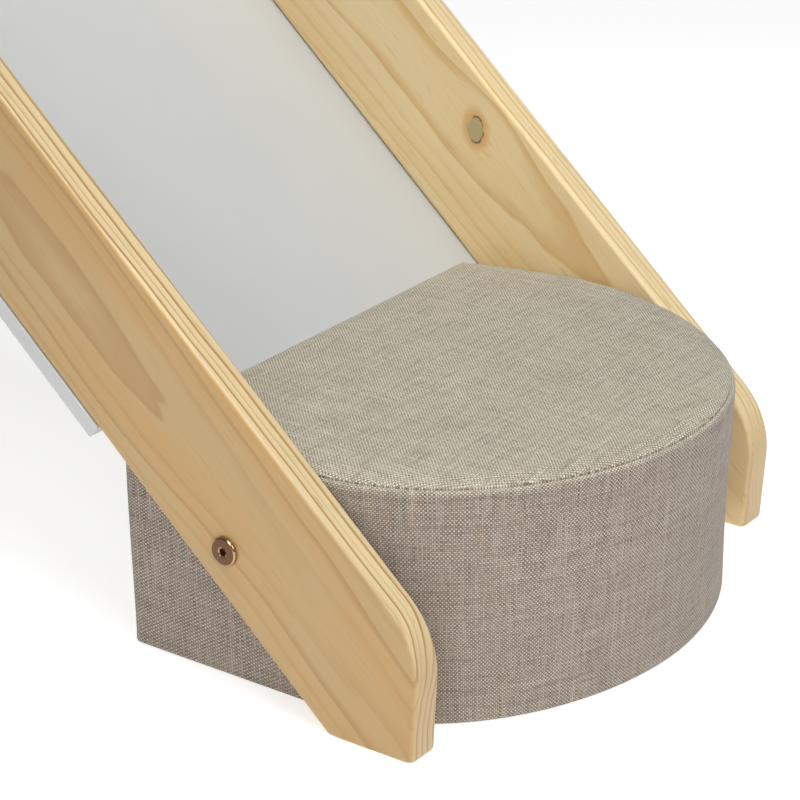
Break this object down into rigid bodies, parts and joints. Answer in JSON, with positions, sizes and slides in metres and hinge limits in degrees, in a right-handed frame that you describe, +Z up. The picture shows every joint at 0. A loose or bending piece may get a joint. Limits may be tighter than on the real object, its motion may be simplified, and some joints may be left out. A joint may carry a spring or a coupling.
{
  "type": "toddler slide",
  "caption": "Toddler slide for a low bed or platform: pine side rails, white sliding board, hooks at the top and an upholstered D-shaped landing block at the foot.",
  "frame": {"origin": "on the floor, at the centre of the whole slide's box", "axes": "+Z up, the foot and landing block point to -Y, the hooked upper end points to +Y, +X is on the right hand of someone facing +Y"},
  "size_m": [0.3768, 0.9632, 0.8405],
  "materials": {
    "pine": "clear-lacquered knotty pine, planed, with rounded arrises",
    "white_board": "white satin-coated board",
    "linen": "beige linen-look plain weave upholstery with slubs",
    "plywood": "raw plywood, hidden",
    "hardboard": "thin bendy hardboard, hidden",
    "foam": "upholstery foam, hidden",
    "dust_cloth": "black non-woven cloth",
    "brass_plate": "bronze-coloured plated steel, bright on the rim",
    "zinc_steel": "bright zinc plated",
    "painted_steel": "white powder coat"
  },
  "bodies": {
    "root": {"left_rail": "pine", "right_rail": "pine", "threshold_rail": "pine", "lower_batten": "pine", "upper_batten": "pine", "left_dowel": "pine", "right_dowel": "pine", "slide_deck": "white_board", "block_cover": "linen", "block_base_panel": "plywood", "block_top_panel": "plywood", "block_back_panel": "plywood", "block_left_cheek": "plywood", "block_right_cheek": "plywood", "block_centre_rib": "plywood", "block_front_wrap": "hardboard", "block_foam_pad": "foam", "block_foam_wrap": "foam", "block_dust_cover": "dust_cloth", "left_block_bolt": "brass_plate", "left_threshold_bolt": "brass_plate", "right_block_bolt": "brass_plate", "right_threshold_bolt": "brass_plate", "left_hook": "painted_steel", "right_hook": "painted_steel", "left_block_tee_nut": "zinc_steel", "left_barrel_nut": "zinc_steel", "left_hook_screw_1": "zinc_steel", "left_hook_screw_2": "zinc_steel", "left_lower_batten_screw": "zinc_steel", "left_upper_batten_screw": "zinc_steel", "left_deck_screw_1": "zinc_steel", "left_deck_screw_2": "zinc_steel", "left_deck_screw_3": "zinc_steel", "left_deck_screw_4": "zinc_steel", "left_base_screw_1": "zinc_steel", "left_base_screw_2": "zinc_steel", "left_top_screw_1": "zinc_steel", "left_top_screw_2": "zinc_steel", "right_block_tee_nut": "zinc_steel", "right_barrel_nut": "zinc_steel", "right_hook_screw_1": "zinc_steel", "right_hook_screw_2": "zinc_steel", "right_lower_batten_screw": "zinc_steel", "right_upper_batten_screw": "zinc_steel", "right_deck_screw_1": "zinc_steel", "right_deck_screw_2": "zinc_steel", "right_deck_screw_3": "zinc_steel", "right_deck_screw_4": "zinc_steel", "right_base_screw_1": "zinc_steel", "right_base_screw_2": "zinc_steel", "right_top_screw_1": "zinc_steel", "right_top_screw_2": "zinc_steel"}
  },
  "joints": []
}
